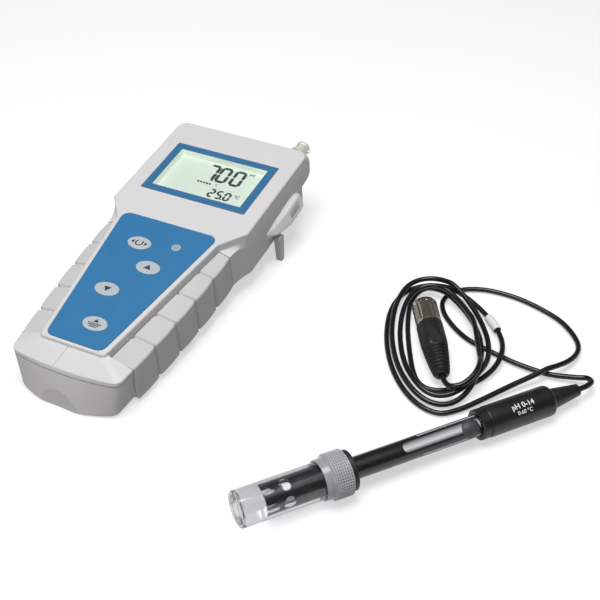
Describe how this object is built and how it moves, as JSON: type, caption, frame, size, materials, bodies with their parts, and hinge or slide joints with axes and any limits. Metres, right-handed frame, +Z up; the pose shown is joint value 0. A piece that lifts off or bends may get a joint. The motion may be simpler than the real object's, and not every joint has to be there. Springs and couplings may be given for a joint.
{
  "type": "portable pH meter with electrode",
  "caption": "Hand-held pH meter on its tilt stand, with ribbed side grips, a display and oval keys, and a combination electrode in its storage bottle on a coiled cable with a coaxial plug.",
  "frame": {"origin": "middle of the front foot's flat underside, on the table", "axes": "+X to the meter's right, +Y from the front foot towards the socket end, +Z up from the table"},
  "size_m": [0.3205, 0.2796, 0.0528],
  "materials": {
    "case_grey": "fine satin light grey",
    "grip_grey": "soft satin grey",
    "blue": "satin printed film",
    "key_grey": "satin",
    "clear": "clear moulded",
    "lcd_green": "pale green reflective display",
    "board_green": "solder mask",
    "black": "black moulded",
    "cable_black": "smooth black sheath",
    "rubber": "matt black",
    "nickel": "nickel plate",
    "gold": "gold plate",
    "steel": "zinc plate",
    "white": "white moulded",
    "glass": "clear glass",
    "cell_jacket": "printed dark jacket"
  },
  "bodies": {
    "meter": {"lower_case": "case_grey", "upper_case": "case_grey", "side_grip_left": "grip_grey", "side_grip_right": "grip_grey", "display_bezel": "blue", "display_lens": "clear", "lcd_panel": "lcd_green", "keypad_overlay": "blue", "indicator_lens": "clear", "switch_upper": "black", "switch_second": "black", "switch_third": "black", "switch_lower": "black", "main_board": "board_green", "battery_tray": "black", "contact_front": "nickel", "contact_rear": "nickel", "battery_cell_1": "cell_jacket", "battery_cell_2": "cell_jacket", "battery_cell_3": "cell_jacket", "battery_cell_4": "cell_jacket", "case_screw_1": "steel", "case_screw_2": "steel", "case_screw_3": "steel", "case_screw_4": "steel", "bnc_socket": "nickel", "bnc_insulator": "white", "bnc_contact": "gold", "bnc_locknut": "nickel", "front_foot": "rubber"},
    "stand": {"tilt_stand": "case_grey"},
    "upper_key": {"key_upper": "key_grey"},
    "second_key": {"key_second": "key_grey"},
    "third_key": {"key_third": "key_grey"},
    "lower_key": {"key_lower": "key_grey"},
    "door": {"battery_door": "case_grey"},
    "electrode": {"electrode_tube": "black", "electrode_cap": "black", "glass_electrode": "glass", "junction_ring": "white", "strain_relief": "rubber", "cable_lead": "cable_black", "cable_coil": "cable_black", "cable_marker": "white", "plug_boot": "rubber", "plug_core": "nickel", "plug_pin": "gold"},
    "bottle": {"storage_bottle": "clear", "bottle_seal": "rubber"},
    "collar": {"bottle_collar": "clear"},
    "filler": {"fill_plug": "rubber"},
    "nut": {"plug_nut": "nickel"}
  },
  "joints": [
    {"name": "stand_fold", "type": "hinge", "parent": "meter", "child": "stand", "pos_m": [0, 0.15757, 0.0176], "axis": [-1, 0, 0], "range_deg": [0, 88]},
    {"name": "upper_key_press", "type": "slide", "parent": "meter", "child": "upper_key", "axis": [0, 0.0872, -0.9962], "range_m": [0, 0.0005], "stiffness_N_per_m": 400},
    {"name": "second_key_press", "type": "slide", "parent": "meter", "child": "second_key", "axis": [0, 0.0872, -0.9962], "range_m": [0, 0.0005], "stiffness_N_per_m": 400},
    {"name": "third_key_press", "type": "slide", "parent": "meter", "child": "third_key", "axis": [0, 0.0872, -0.9962], "range_m": [0, 0.0005], "stiffness_N_per_m": 400},
    {"name": "lower_key_press", "type": "slide", "parent": "meter", "child": "lower_key", "axis": [0, 0.0872, -0.9962], "range_m": [0, 0.0005], "stiffness_N_per_m": 400},
    {"name": "door_removal", "type": "slide", "parent": "meter", "child": "door", "axis": [0, 0.0872, -0.9962], "range_m": [0, 0.015]},
    {"name": "electrode_lift", "type": "slide", "parent": "meter", "child": "electrode", "axis": [0, 0, 1], "range_m": [0, 0.06]},
    {"name": "bottle_pull", "type": "slide", "parent": "electrode", "child": "bottle", "axis": [-0.6304, -0.7758, 0.0273], "range_m": [0, 0.06]},
    {"name": "collar_turn", "type": "hinge", "parent": "bottle", "child": "collar", "pos_m": [0.1566, -0.01372, 0.01263], "axis": [-0.6304, -0.7758, 0.0273], "range_deg": [0, 180]},
    {"name": "filler_pull", "type": "slide", "parent": "electrode", "child": "filler", "axis": [0.5609, -0.431, 0.7068], "range_m": [0, 0.006]},
    {"name": "nut_turn", "type": "hinge", "parent": "electrode", "child": "nut", "pos_m": [0.18624, 0.09093, 0.008], "axis": [-0.4924, 0.8704, 0], "range_deg": [0, 90]}
  ]
}
